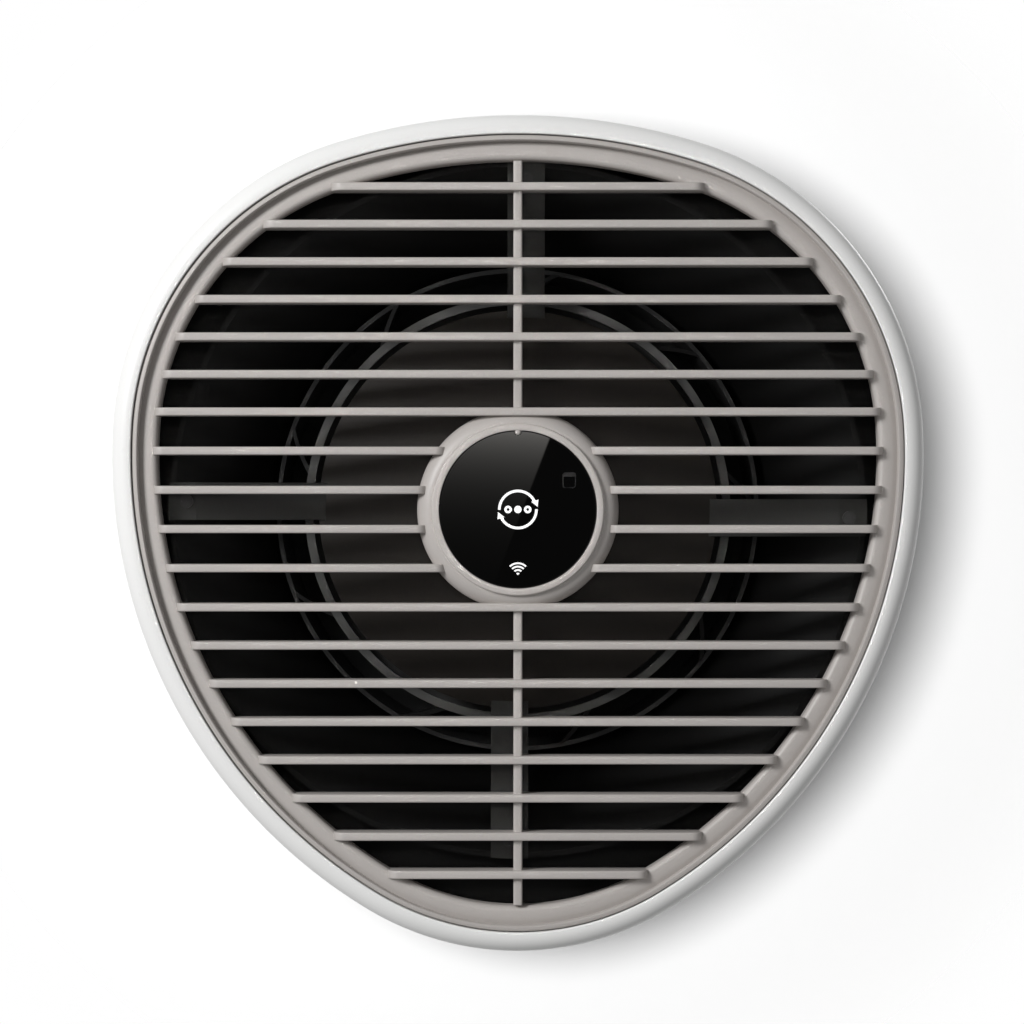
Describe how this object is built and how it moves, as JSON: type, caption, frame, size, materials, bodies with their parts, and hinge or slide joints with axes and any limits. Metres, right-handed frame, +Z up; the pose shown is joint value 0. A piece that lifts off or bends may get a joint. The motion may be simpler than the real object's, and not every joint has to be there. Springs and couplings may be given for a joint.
{
  "type": "heat recovery unit",
  "caption": "Wall-mounted single-room heat recovery unit: pull-off slatted front, shell with supply fan, extract filter, through-wall exchanger core, exhaust fan and outdoor hood.",
  "frame": {"origin": "duct axis at the inner wall face, centre of the wall screws' circle", "axes": "+Y along the duct towards outdoors, -Y into the room, +Z up, +X to the right seen from the room"},
  "size_m": [0.2906, 0.4572, 0.2995],
  "materials": {
    "shell_white": "satin white moulding",
    "grille_taupe": "fine satin warm grey moulding",
    "display_black": "black gloss glass",
    "interior_black": "matte black moulding",
    "dome_brown": "satin brown-black moulding",
    "wheel_grey": "satin dark grey moulding",
    "pvc_grey": "smooth pipe plastic",
    "plate_plastic": "fine texture",
    "rubber_black": "matte",
    "spring_steel": "bright",
    "screw_steel": "zinc plated",
    "screw_black": "black oxide",
    "bearing_steel": "ground",
    "cup_steel": "drawn steel",
    "lamination": "stacked sheet",
    "copper": "enamelled wire",
    "magnet": "ground ferrite",
    "exchanger_plate": "translucent film",
    "filter_media": "non-woven",
    "filter_foam": "open-cell coarse media",
    "circuit_green": "solder mask",
    "component_dark": "moulded",
    "hood_paint": "powder coat",
    "mesh_steel": "stainless"
  },
  "bodies": {
    "wall_side": {"wall_sleeve": "pvc_grey", "wall_plate": "plate_plastic", "plate_seal": "rubber_black", "plate_clips": "spring_steel", "cable_grommet": "rubber_black", "terminal_block": "component_dark", "terminal_screws": "screw_steel", "power_board": "circuit_green", "board_parts": "component_dark", "contact_socket": "component_dark", "exhaust_duct": "pvc_grey", "exhaust_carrier": "pvc_grey", "exhaust_stator": "lamination", "exhaust_windings": "copper", "exhaust_bearings": "bearing_steel", "fresh_filter": "filter_foam", "hood_base": "hood_paint", "hood_cover": "hood_paint", "hood_louvres": "hood_paint", "hood_mesh": "mesh_steel", "hood_screws": "screw_steel"},
    "core": {"core_casing": "plate_plastic", "core_plates": "exchanger_plate", "core_room_grid": "plate_plastic", "core_outer_grid": "plate_plastic", "core_seal": "rubber_black", "core_end_seal": "rubber_black", "core_handle": "plate_plastic"},
    "extract_filter": {"filter_frame": "plate_plastic", "filter_pleats": "filter_media"},
    "room_unit": {"outer_shell": "shell_white", "keeper_plates": "spring_steel", "diffuser_bowl": "interior_black", "bowl_screws": "screw_steel", "inlet_duct": "interior_black", "duct_seal": "rubber_black", "motor_carrier": "interior_black", "strut_screws": "screw_black", "motor_dome": "dome_brown", "supply_stator": "lamination", "supply_windings": "copper", "supply_bearings": "bearing_steel", "contact_plug": "component_dark"},
    "grille": {"front_grille": "grille_taupe", "grille_magnets": "magnet", "bezel_ring": "grille_taupe", "display_glass": "display_black", "display_board": "circuit_green", "display_housing": "interior_black", "housing_screws": "screw_steel"},
    "supply_wheel": {"supply_impeller": "wheel_grey", "supply_blades": "wheel_grey", "supply_shroud": "wheel_grey", "supply_rotor_cup": "cup_steel", "supply_magnets": "magnet", "supply_shaft": "bearing_steel"},
    "exhaust_wheel": {"exhaust_impeller": "wheel_grey", "exhaust_rotor_cup": "cup_steel", "exhaust_magnets": "magnet", "exhaust_shaft": "bearing_steel"}
  },
  "joints": [
    {"name": "core_slide", "type": "slide", "parent": "wall_side", "child": "core", "axis": [0, -1, 0], "range_m": [0, 0.26]},
    {"name": "filter_slide", "type": "slide", "parent": "core", "child": "extract_filter", "axis": [0, -1, 0], "range_m": [0, 0.05]},
    {"name": "unit_slide", "type": "slide", "parent": "extract_filter", "child": "room_unit", "axis": [0, -1, 0], "range_m": [0, 0.12]},
    {"name": "grille_slide", "type": "slide", "parent": "room_unit", "child": "grille", "axis": [0, -1, 0], "range_m": [0, 0.08]},
    {"name": "supply_spin", "type": "hinge", "parent": "room_unit", "child": "supply_wheel", "pos_m": [0, -0.05, 0], "axis": [0, -1, 0], "continuous": true},
    {"name": "exhaust_spin", "type": "hinge", "parent": "wall_side", "child": "exhaust_wheel", "pos_m": [0, 0.27, 0], "axis": [0, -1, 0], "continuous": true}
  ]
}
